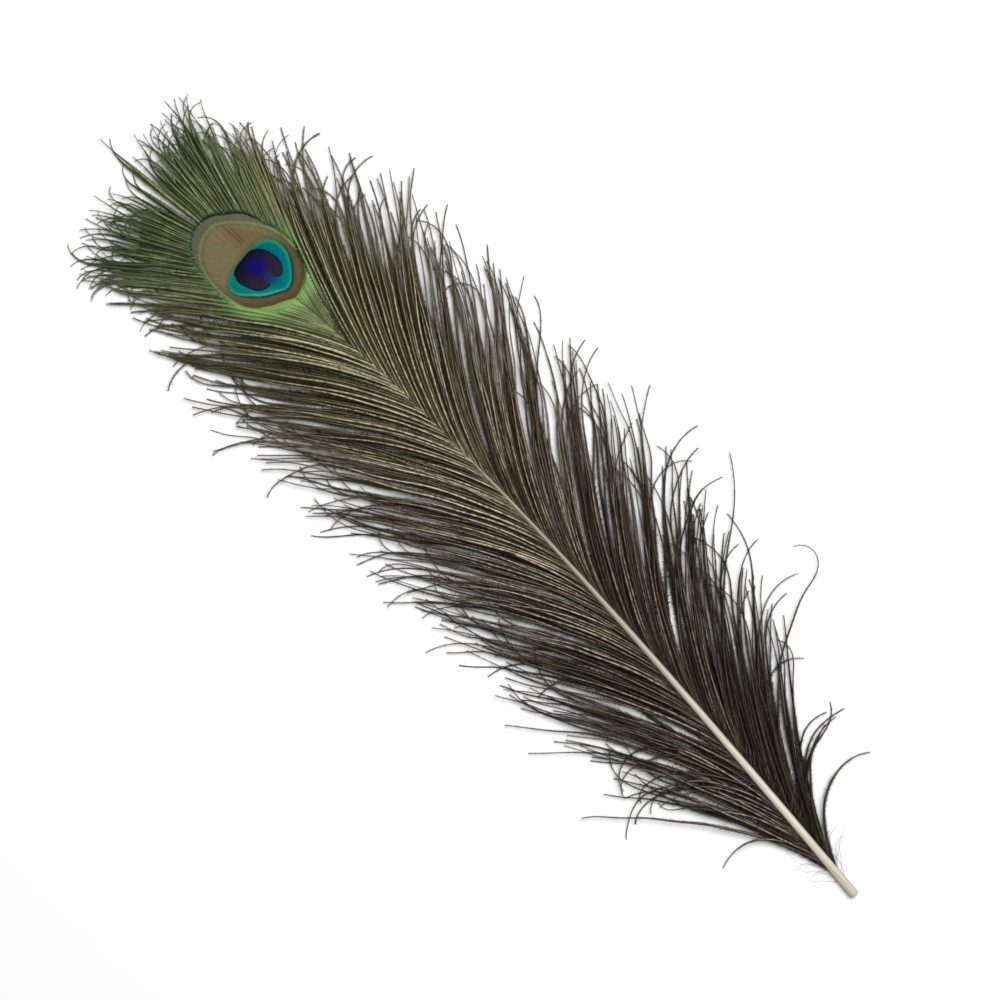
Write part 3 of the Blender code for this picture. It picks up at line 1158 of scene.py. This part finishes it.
@dataclass
class Quill:
    """The shaft, from its rounded cut end to the tip of the rachis inside the eye.

    Its widths are what shows between the barbs, by station.
    """

    form: FeatherForm
    material: Material
    rings: int = 150
    end_rings: int = 6
    rachis_rings: int = 16
    round: int = 20
    cut_rounding: float = 1.1
    cut_width: float = 0.55
    squareness: float = 0.85
    groove: float = 0.22
    groove_width: float = 0.28
    sink: float = 0.4
    sinks: Pair = (0.8, 0.1)
    widths: Rows = (
        (0.0, 2.7), (0.2, 2.35), (0.35, 2.0), (0.45, 1.72), (0.55, 1.3), (0.7, 1.0), (0.85, 0.68),
        (0.95, 0.4), (1.0, 0.3), (1.1, 0.22),
    )

    def stations(self) -> list[tuple[Array, float, float, float]]:
        """Where the rings of the shaft's mesh stand.

        Returns:
            Their places, headings, widths and how far along the shaft they are.
        """
        form, whole = self.form, self.form.shaft_length()
        found = []
        for number in range(self.end_rings):
            turn = number / float(self.end_rings) * math.pi / 2.0
            along = self.cut_rounding * (1.0 - math.cos(turn))
            width = form.width_cut * mix(self.cut_width, 1.0, math.sin(turn))
            found.append((*form.shaft_place(along / whole), width, along))
        for station in np.linspace(self.cut_rounding / whole, 1.0, self.rings):
            found.append((*form.shaft_place(station), self.width(station), station * whole))
        for beyond in np.linspace(0.0, form.rachis_inside_eye, self.rachis_rings)[1:]:
            width = self.width(1.0 + beyond / whole)
            found.append((*form.rachis_place(beyond), width, whole + beyond))
        return found

    def width(self, station: float) -> float:
        """Width that shows between the barbs, which close over the shaft towards the eye."""
        return float(np.interp(station, *zip(*self.widths)))

    def build(self) -> Object:
        """Makes the shaft as one closed mesh.

        Returns:
            The piece.
        """
        form, flat = bmesh.new(), self.form.height_of_width
        along_layer = form.verts.layers.float.new("along")
        rings = []
        for point, heading, width, along in self.stations():
            half = width / 2.0
            station = min(1.0, along / self.form.shaft_length())
            top = self.form.shaft_width(station) * flat - self.sink * step(station, self.sinks)
            middle = top - max(half, self.width(station) / 2.0) * flat
            right = towards(heading - 90.0)
            ring = []
            for turn in np.linspace(0.0, 2.0 * math.pi, self.round, endpoint=False):
                across = half * math.copysign(abs(math.cos(turn)) ** self.squareness, math.cos(turn))
                up = half * flat * math.sin(turn)
                if up < 0.0:
                    up *= 1.0 - self.groove * math.exp(-((across / (self.groove_width * half)) ** 2))
                place = point + right * across
                spot = self.form.metres(np.array([[place[0], place[1], middle + up]]))[0]
                vertex = form.verts.new(spot)
                vertex[along_layer] = along
                ring.append(vertex)
            rings.append(ring)
        for ring, after in zip(rings, rings[1:]):
            for number in range(self.round):
                other = (number + 1) % self.round
                form.faces.new((ring[number], ring[other], after[other], after[number]))
        form.faces.new(list(reversed(rings[0])))
        form.faces.new(rings[-1])
        bmesh.ops.recalc_face_normals(form, faces=form.faces)
        mesh = bpy.data.meshes.new("shaft")
        form.to_mesh(mesh)
        form.free()
        mesh.shade_smooth()
        return finished_piece("shaft", mesh, self.material)


def new_material(name: str) -> tuple[Material, Adder, Node]:
    """Makes an empty material.

    Args:
        name: Its name.

    Returns:
        The material, what adds nodes to it and its Principled shader.
    """
    material = bpy.data.materials.new(name)
    material.use_nodes = True
    tree = material.node_tree
    return material, partial(add_node, tree), tree.nodes["Principled BSDF"]


@dataclass(frozen=True)
class BarbKeratin:
    """Keratin of a barb, as grown: its colours by station, over station_span."""

    # Seen as a pale, smooth ridge with painted glints in dashes, between dark barbules whose thin
    # layers give a dull metallic bloom, and dark edges that are partly painted shade between barbs.
    # The underside is a plain brown
    name: str = "barb_keratin"
    ridge: Stops = (
        (0.0, "#8f8272"), (0.3, "#ab9c8a"), (0.5, "#b9ab90"), (0.65, "#a9a583"), (0.74, "#989e79"),
        (0.79, "#868c68"), (1.0, "#898e62"),
    )
    flank: Stops = (
        (0.0, "#241b15"), (0.3, "#3a2e23"), (0.45, "#4a3c2b"), (0.63, "#5c5939"), (0.735, "#5c6342"),
        (0.78, "#434b33"), (1.0, "#505b39"),
    )
    # Colours of the blades' edges: partly the barbs' own dark brown, partly painted shade between barbs
    edge_and_gap_shade: Stops = (
        (0.0, "#1e150c"), (0.3, "#322618"), (0.42, "#403220"), (0.65, "#524b2c"), (0.73, "#4f5339"),
        (0.775, "#2e3321"), (1.0, "#373e26"),
    )
    violet: Stops = ((0.0, "#3a2838"), (0.6, "#3a2838"), (0.74, "#38372a"))
    greens: Stops = (
        (0.0, "#22261f"), (0.5, "#2c3526"), (0.68, "#43522a"), (0.8, "#5d6c34"), (1.0, "#666f2e"),
    )
    bronze: str = "#57442a"
    underside: str = "#5a4c3c"
    station_span: float = 1.3
    # Patches of hue run over a few barbs. The painted glints and the grain would really be as fine
    # as a barbule, and are drawn as coarse as they need to show
    patch_mm: float = 5.0
    glint_mm: float = 1.3
    glints_least: float = 0.3
    grain_mm: float = 0.25
    grain_depth: float = 0.05
    dull_metal: float = 0.65
    ridge_metal: float = 0.2
    roughness: float = 0.42
    specular: float = 0.35

    def brightness(self, add: Adder) -> Node:
        """How much of the pale ridge shows: less on dim barbs and towards the tips.

        Args:
            add: What adds a node to the material.

        Returns:
            The node that gives it.
        """
        held = add("MapRange", {0: "@rib", 1: 0.15, 2: 0.8, 3: 0.0, 4: 1.0}, **SMOOTH)
        reach = add("MapRange", {0: "@reach", 1: 0.4, 2: 0.95, 3: 1.0, 4: 0.25})
        root = add("MapRange", {0: "@reach", 1: 0.0, 2: 0.16, 3: "@bare", 4: 1.0})
        for share in (reach, root, "@pale", self.glints(add)):
            held = add("Math", {0: held, 1: share})
        return held

    def glints(self, add: Adder) -> Node:
        """Breaks the pale ridge into short dashes of painted glint, as if it caught the light.

        Args:
            add: What adds a node to the material.

        Returns:
            The node that gives the share of the ridge to show.
        """
        turn = add("Math", {0: "@tone", 1: 40.0})
        scale = 1.0 / (self.glint_mm * MM)
        inputs = {"Vector": "Object", "W": turn, "Scale": scale, "Detail": 1.0}
        noise = add("TexNoise", inputs, noise_dimensions="4D")
        return add("MapRange", {0: noise, 1: 0.38, 2: 0.6, 3: self.glints_least, 4: 1.25})

    def base_colour(self, add: Adder, bright: Node) -> Node:
        """Colour of a barb by its place on the feather, its ridge and its own tone.

        Args:
            add: What adds a node to the material.
            bright: The node that gives how much of the pale ridge shows.

        Returns:
            The node that gives the colour.
        """
        along = add("Math", {0: "@station", 1: self.station_span}, operation="DIVIDE")
        scale = 1.0 / (self.patch_mm * MM)
        noise = add("TexNoise", {"Vector": "Object", "Scale": scale, "Detail": 3.0})
        colour, green, violet, gap, ridge = (
            add("ValToRGB", {"Fac": along}, stops)
            for stops in (self.flank, self.greens, self.violet, self.edge_and_gap_shade, self.ridge)
        )
        patches = (
            (noise, 0.56, 0.7, violet), (noise, 0.46, 0.3, green), ("@tone", 0.6, 1.3, self.bronze),
        )
        for value, low, high, patch in patches:
            mask = add("MapRange", {0: value, 1: low, 2: high, 4: 0.6})
            colour = add("Mix", {0: mask, 6: colour, 7: patch})
        # A blade's edges take the darker gap colour, partly as painted shade between barbs
        body = add("MapRange", {0: "@rib", 1: 0.0, 2: 0.45}, **SMOOTH)
        colour = add("Mix", {0: body, 6: gap, 7: colour})
        colour = add("Mix", {0: bright, 6: colour, 7: ridge})
        shade = add("MapRange", {0: "@tone", 3: 0.8, 4: 1.2})
        return add("Mix", {0: 1.0, 6: colour, 7: shade}, blend_type="MULTIPLY")

    def metal(self, add: Adder, bright: Node) -> Node:
        """How metallic a barb looks: its barbules more than its ridge."""
        return add("MapRange", {0: bright, 3: self.dull_metal, 4: self.ridge_metal})

    def finish(self, add: Adder, shader: Node, colour: Node, metal: Node) -> None:
        """Lays the dull underside over a colour and sets the shader.

        Args:
            add: What adds a node to the material.
            shader: Its Principled shader.
            colour: The node that gives the colour of the upper side.
            metal: The node that gives how metallic it looks.
        """
        up = add("SeparateXYZ", {0: "Normal"}).outputs["Z"]
        below = add("MapRange", {0: up, 1: -0.15, 2: -0.5, 4: 0.85})
        colour = add("Mix", {0: below, 6: colour, 7: self.underside})
        scale = 1.0 / (self.grain_mm * MM)
        grain = add("TexNoise", {"Vector": "Object", "Scale": scale, "Detail": 1.0})
        depth = self.grain_depth * MM
        bump = add("Bump", {"Strength": 0.35, "Distance": depth, "Height": grain})
        fill(shader, {
            "Base Color": colour, "Metallic": metal, "Roughness": self.roughness, "IOR": KERATIN_IOR,
            "Specular IOR Level": self.specular, "Normal": bump,
        })

    def build(self) -> Material:
        """Makes the material.

        Returns:
            The material.
        """
        material, add, shader = new_material(self.name)
        bright = self.brightness(add)
        self.finish(add, shader, self.base_colour(add, bright), self.metal(add, bright))
        return material


@dataclass(frozen=True)
class EyeLayer:
    """One ring of the eye, laid over those before it.

    The ring covers all within its contour moved out by `outer` mm, and in full from `inner`
    mm. Its colours and strengths are those towards the notch and towards the far end, and
    `left` and `right` are what its strength is multiplied by on either side of the axis.
    """

    contour: Contour
    outer: float
    inner: float
    near: str
    far: str
    near_strength: float = 1.0
    far_strength: float = 1.0
    left: float = 1.0
    right: float = 1.0


@dataclass(frozen=True)
class EyeKeratin(BarbKeratin):
    """Keratin of the knit vane, as grown: even layers in its barbules colour it in rings.

    Splits hold how far across the axis and along it each fine gap starts, and where it ends.
    """

    # Seen as bronze, turquoise and deep blue with a satin sheen, and with soft borders that run a
    # little ragged from barb to barb. Real mottling is as fine as a barbule, and is drawn coarser
    name: str = "eye_keratin"
    bronze: str = "#484a2b"
    eye_metal: float = 0.3
    roughness: float = 0.48
    specular: float = 0.0
    jitter_mm: float = 0.22
    layers: tuple[EyeLayer, ...] = (
        EyeLayer(Contour.OVAL, 12.5, 4.0, "#5f6d4b", "#465236", 0.7, 0.0),
        EyeLayer(Contour.OVAL, 6.0, 1.2, "#7fa25e", "#527848", 0.85, 0.2),
        EyeLayer(Contour.BAND, 6.0, 1.0, "#2f5040", "#2f5040", 0.0, 0.3),
        # Painted shadow: a dark line just beyond the band's far edge, where the knit vane stands above the
        # fan
        EyeLayer(Contour.BAND, 0.7, 0.1, "#465236", "#23231a", 0.0, 0.85, 0.35, 1.0),
        EyeLayer(Contour.BAND, 0.15, -0.25, "#709256", "#595c49", 0.0, 1.0),
        EyeLayer(Contour.OVAL, 1.3, 0.3, "#7c8f57", "#6c7650"),
        EyeLayer(Contour.OVAL, 0.3, -0.2, "#4c4822", "#63603c"),
        EyeLayer(Contour.OVAL, -0.2, -0.7, "#4c4428", "#6e6346"),
        EyeLayer(Contour.OVAL, -0.7, -1.6, "#5c4b3a", "#736a4c"),
        EyeLayer(Contour.OVAL, -0.7, -2.4, "#5c4b3a", "#68522f", 0.0, 0.6, 0.0, 1.0),
        EyeLayer(Contour.TURQUOISE, 2.0, 0.4, "#3b493e", "#4b5a40", 0.9, 0.6, 0.0, 1.0),
        EyeLayer(Contour.TURQUOISE, 0.9, 0.15, "#1c3428", "#536845"),
        EyeLayer(Contour.TURQUOISE, 0.15, -0.25, "#08856c", "#386e4e"),
        EyeLayer(Contour.TURQUOISE, -0.1, -0.3, "#46a79a", "#407a58", 0.6, 0.0, 1.0, 0.0),
        EyeLayer(Contour.TURQUOISE, -0.5, -1.1, "#007a74", "#0c6e54"),
        EyeLayer(Contour.TURQUOISE, -0.4, -1.6, "#00626c", "#005e5a", 1.0, 1.0, 0.0, 0.85),
        EyeLayer(Contour.WEDGE, 1.0, -2.0, "#123f6a", "#1a4070"),
        EyeLayer(Contour.HEART, 1.5, 0.0, "#0e4e78", "#0e4e78", 0.35, 0.3, 0.0, 1.0),
        EyeLayer(Contour.HEART, 0.3, -0.25, "#141c34", "#02040c"),
        EyeLayer(Contour.HEART, -0.1, -0.9, "#2c2738", "#2c2738", 1.0, 0.0),
        EyeLayer(Contour.HEART, -0.7, -2.4, "#30262f", "#06071a"),
        EyeLayer(Contour.WEDGE, 0.9, -2.2, "#223f76", "#223f76", 0.55, 0.0),
        EyeLayer(Contour.GLOW, 3.2, -2.4, "#151368", "#151368"),
    )
    splits: Rows = ((2.55, 8.8, 3.1, 16.6), (3.4, 9.1, 4.2, 14.2), (0.15, -21.0, 0.0, -12.9))
    split_shade: str = "#3f3722"
    split_half_width: float = 0.16
    split_strength: float = 0.7
    mottle_mm: float = 0.7
    curve_span: float = 25.0

    def plane(self, add: Adder, form: FeatherForm) -> tuple[object, object]:
        """Coordinates in the eye's plane.

        Args:
            add: What adds a node to the material.
            form: The feather's plan.

        Returns:
            Sockets of how far a point lies across the eye's axis and along it, in mm.
        """
        notch = form.metres(np.array([[*form.notch, 0.0]]))[0]
        local = add("Mapping", {
            "Vector": "Object", "Location": (notch[0], notch[1], 0.0),
            "Rotation": (0.0, 0.0, math.radians(form.eye_turn)), "Scale": (MM, MM, MM),
        }, vector_type="TEXTURE")
        parts = add("SeparateXYZ", {0: local}).outputs
        distal = add("Math", {0: parts["Y"], 1: form.eye_centre}, operation="SUBTRACT")
        return parts["X"], distal.outputs[0]

    def beyond(self, add: Adder, across: object, distal: object) -> dict[Contour, Node]:
        """How far a point lies beyond each contour.

        Args:
            add: What adds a node to the material.
            across: The socket of how far it lies across the eye's axis.
            distal: The socket of how far it lies along the axis.

        Returns:
            The nodes that give it in mm, by their contours.
        """
        flat = add("CombineXYZ", {0: across, 1: distal})
        length = add("VectorMath", {0: flat}, operation="LENGTH")
        ragged = {0: "@tone", 3: -self.jitter_mm / 2.0, 4: self.jitter_mm / 2.0}
        jitter = add("MapRange", ragged)
        distance = add("Math", {0: length, 1: jitter}, operation="ADD")
        angle = add("Math", {0: across, 1: distal}, operation="ARCTAN2")
        turn = add("MapRange", {0: angle, 1: -math.pi, 2: math.pi})
        found = {}
        for contour in Contour:
            curve = add("FloatCurve", {"Value": turn})
            points = curve.mapping.curves[0].points
            while len(points) < len(contour.value):
                points.new(0.5, 0.5)
            for point, (degrees, reach) in zip(points, contour.value):
                point.location = (degrees / 360.0 + 0.5, reach / self.curve_span)
                point.handle_type = "AUTO"
            curve.mapping.update()
            reach = add("Math", {0: curve, 1: self.curve_span})
            found[contour] = add("Math", {0: distance, 1: reach}, operation="SUBTRACT")
        return found

    def rings(self, add: Adder, colour: Node, beyond: dict, far: Node, right: Node) -> Node:
        """Lays the rings over the barbs' own colour.

        Args:
            add: What adds a node to the material.
            colour: The node that gives the barbs' colour.
            beyond: Nodes that give how far a point lies beyond each contour.
            far: The node that goes from 0 by the notch to 1 at the far end.
            right: The node that goes from 0 on the left to 1 on the right.

        Returns:
            The node that gives the colour with the rings.
        """
        for layer in self.layers:
            edge = {0: beyond[layer.contour], 1: layer.outer, 2: layer.inner}
            held = add("MapRange", edge, **SMOOTH)
            for place, low, high in (
                (far, layer.near_strength, layer.far_strength), (right, layer.left, layer.right),
            ):
                strength = add("MapRange", {0: place, 3: low, 4: high})
                held = add("Math", {0: held, 1: strength})
            paint = add("Mix", {0: far, 6: layer.near, 7: layer.far})
            colour = add("Mix", {0: held, 6: colour, 7: paint})
        return colour

    def mottled(self, add: Adder, colour: Node, beyond: dict) -> Node:
        """Lays faint specks of other hues over the rings.

        Args:
            add: What adds a node to the material.
            colour: The node that gives the colour so far.
            beyond: Nodes that give how far a point lies beyond each contour.

        Returns:
            The node that gives the colour with the specks.
        """
        scale = 1.0 / (self.mottle_mm * MM)
        specks = add("TexNoise", {"Vector": "Object", "Scale": scale, "Detail": 2.0})
        held = add("MapRange", {0: beyond[Contour.BAND], 1: 1.0, 2: -0.5, 4: 0.3})
        hues = {0: held, 6: colour, 7: specks.outputs["Color"]}
        return add("Mix", hues, blend_type="SOFT_LIGHT")

    def slits(self, add: Adder, colour: Node, across: object, distal: object) -> Node:
        """Paints shade into the fine lines where barbs of the knit vane have parted.

        Args:
            add: What adds a node to the material.
            colour: The node that gives the colour so far.
            across: The socket of how far a point lies across the eye's axis.
            distal: The socket of how far it lies along the axis.

        Returns:
            The node that gives the colour with the lines.
        """
        for side_from, start, side_to, end in self.splits:
            line = add("MapRange", {0: distal, 1: start, 2: end, 3: side_from, 4: side_to})
            sideways = {0: across, 1: line, 2: self.split_half_width}
            lengthways = {0: distal, 1: (start + end) / 2.0, 2: (end - start) / 2.0}
            near, within = (
                add("Math", inputs, operation="COMPARE") for inputs in (sideways, lengthways)
            )
            both = add("Math", {0: near, 1: within})
            held = add("Math", {0: both, 1: self.split_strength})
            colour = add("Mix", {0: held, 6: colour, 7: self.split_shade})
        return colour

    def dressed(self, form: FeatherForm) -> Material:
        """Makes the material, with its rings centred on the eye.

        Args:
            form: The feather's plan.

        Returns:
            The material.
        """
        material, add, shader = new_material(self.name)
        across, distal = self.plane(add, form)
        beyond = self.beyond(add, across, distal)
        far = add("MapRange", {0: distal, 1: -7.0, 2: 10.0}, **SMOOTH)
        right = add("MapRange", {0: across, 1: -3.0, 2: 5.0}, **SMOOTH)
        bright = self.brightness(add)
        colour = self.rings(add, self.base_colour(add, bright), beyond, far, right)
        colour = self.slits(add, self.mottled(add, colour, beyond), across, distal)
        # Painted shade between the barbs darkens their edges, faintly inside the band and deeply outside
        # it; the ridges are lifted a little
        band = beyond[Contour.BAND]
        deep = add("MapRange", {0: band, 1: 0.0, 2: 4.0, 3: 0.72, 4: 0.5})
        lines = add("MapRange", {0: "@rib", 3: deep, 4: 1.06})
        colour = add("Mix", {0: 1.0, 6: colour, 7: lines}, blend_type="MULTIPLY")
        outside = self.metal(add, bright)
        metal = add("MapRange", {0: band, 1: 0.0, 2: 5.0, 3: self.eye_metal, 4: outside})
        self.finish(add, shader, colour, metal)
        return material


@dataclass(frozen=True)
class QuillKeratin:
    """Horn-like keratin of the shaft, as grown and smooth."""

    # Seen as a cream quill with a soft gloss, fine streaks along it and duller sides, whose brown
    # is partly its own and partly painted shade; it turns olive and then dark towards the eye
    name: str = "quill_keratin"
    length: float = 255.0
    top: Stops = (
        (0.0, "#c6bdac"), (0.16, "#d6ccbc"), (0.24, "#cbc0ae"), (0.36, "#ad9f8f"), (0.5, "#8c8071"),
        (0.7, "#877c66"), (0.85, "#5a5a40"), (0.93, "#2f3420"), (1.0, "#2a2a1c"),
    )
    streak: str = "#948268"
    flank: str = "#625642"
    # How wide, long and deep a streak is. Real ones are finer, and are drawn as they need to show
    streak_mm: Triple = (0.35, 14.0, 0.5)
    streak_depth: float = 0.06
    roughness: float = 0.34

    def build(self) -> Material:
        """Makes the material.

        Returns:
            The material.
        """
        material, add, shader = new_material(self.name)
        share = add("Math", {0: "@along", 1: self.length}, operation="DIVIDE")
        colour = add("ValToRGB", {"Fac": share}, self.top)
        scale = tuple(1.0 / (size * MM) for size in self.streak_mm)
        stretched = add("Mapping", {"Vector": "Object", "Scale": scale})
        streaks = add("TexNoise", {"Vector": stretched, "Scale": 1.0, "Detail": 3.0})
        mask = add("MapRange", {0: streaks, 1: 0.45, 2: 0.72, 4: 0.5}, **SMOOTH)
        colour = add("Mix", {0: mask, 6: colour, 7: self.streak})
        # The sides take the flank colour: partly their own brown edges, partly painted shade where they
        # turn from the light above
        up = add("SeparateXYZ", {0: "Normal"}).outputs["Z"]
        side = add("MapRange", {0: up, 1: 0.8, 2: 0.2, 4: 0.7})
        colour = add("Mix", {0: side, 6: colour, 7: self.flank})
        depth = self.streak_depth * MM
        bump = add("Bump", {"Strength": 0.4, "Distance": depth, "Height": streaks})
        fill(shader, {
            "Base Color": colour, "Normal": bump, "Roughness": self.roughness, "IOR": KERATIN_IOR,
        })
        return material


@dataclass
class Studio:
    """Pale floor, soft light from above and the camera that looks straight down.

    Its sizes are in metres. The key light's place is to the right in the picture, up in it and
    above the floor.
    """

    camera_height: float = 1.0
    sensor_mm: float = 36.0
    floor_reach: float = 1.5
    # Uncoated paper, seen as a plain matt white
    floor_colour: str = "#fcfcfc"
    floor_roughness: float = 0.9
    key_place: Triple = (0.3, 0.35, 0.95)
    key_watts: float = 11.0
    key_size: float = 0.7
    world_colour: str = "#ffffff"
    world_strength: float = 0.38

    def build(self) -> None:
        """Makes the floor, the lights and the camera."""
        self.floor()
        self.lights()
        self.camera()
        bpy.context.scene.view_settings.view_transform = "Standard"

    def floor(self) -> None:
        """A matt floor under the feather."""
        mesh = bpy.data.meshes.new("floor")
        far = self.floor_reach
        corners = [(-far, -far, 0.0), (far, -far, 0.0), (far, far, 0.0), (-far, far, 0.0)]
        mesh.from_pydata(corners, [], [(0, 1, 2, 3)])
        material, _, shader = new_material("studio_paper")
        fill(shader, {"Base Color": self.floor_colour, "Roughness": self.floor_roughness})
        mesh.materials.append(material)
        new_object("floor", mesh)

    def lights(self) -> None:
        """A large soft light from the upper right of the picture, and an even surround."""
        right, up, height = self.key_place
        place = (*(right * towards(PHOTO_TURN - 90.0) + up * towards(PHOTO_TURN)), height)
        lamp = bpy.data.lights.new("key", "AREA")
        lamp.energy = self.key_watts
        lamp.size = self.key_size
        key = new_object("key", lamp)
        key.location = place
        key.rotation_euler = Vector([-each for each in place]).to_track_quat("-Z", "Y").to_euler()
        world = bpy.data.worlds.new("surround")
        world.use_nodes = True
        surround = {"Color": self.world_colour, "Strength": self.world_strength}
        fill(world.node_tree.nodes["Background"], surround)
        bpy.context.scene.world = world

    def camera(self) -> None:
        """The photograph's view: straight down, turned so that the tip is at the upper left."""
        data = bpy.data.cameras.new("camera")
        data.sensor_width = self.sensor_mm
        data.lens = self.sensor_mm * self.camera_height / (PHOTO_MM * MM)
        camera = new_object("camera", data)
        camera.location = (PHOTO_CENTRE[0] * MM, PHOTO_CENTRE[1] * MM, self.camera_height)
        camera.rotation_euler = (0.0, 0.0, math.radians(PHOTO_TURN))
        bpy.context.scene.camera = camera


def main() -> None:
    """Builds the feather and the studio."""
    logging.basicConfig(level=logging.INFO, format="%(name)s: %(message)s")
    form = feather_form()
    LOG.info("cut end at %.2f, %.2f mm", *form.origin)
    tree = BarbTree()
    barbs = BarbKeratin().build()
    eye = EyeKeratin().dressed(form)
    for side in Side:
        LooseVane(form, side, tree, barbs).build()
        EyeVane(form, side, tree, eye).build()
    Down(form, tree, barbs).build()
    Quill(form, QuillKeratin().build()).build()
    Studio().build()


if __name__ == "__main__":
    main()
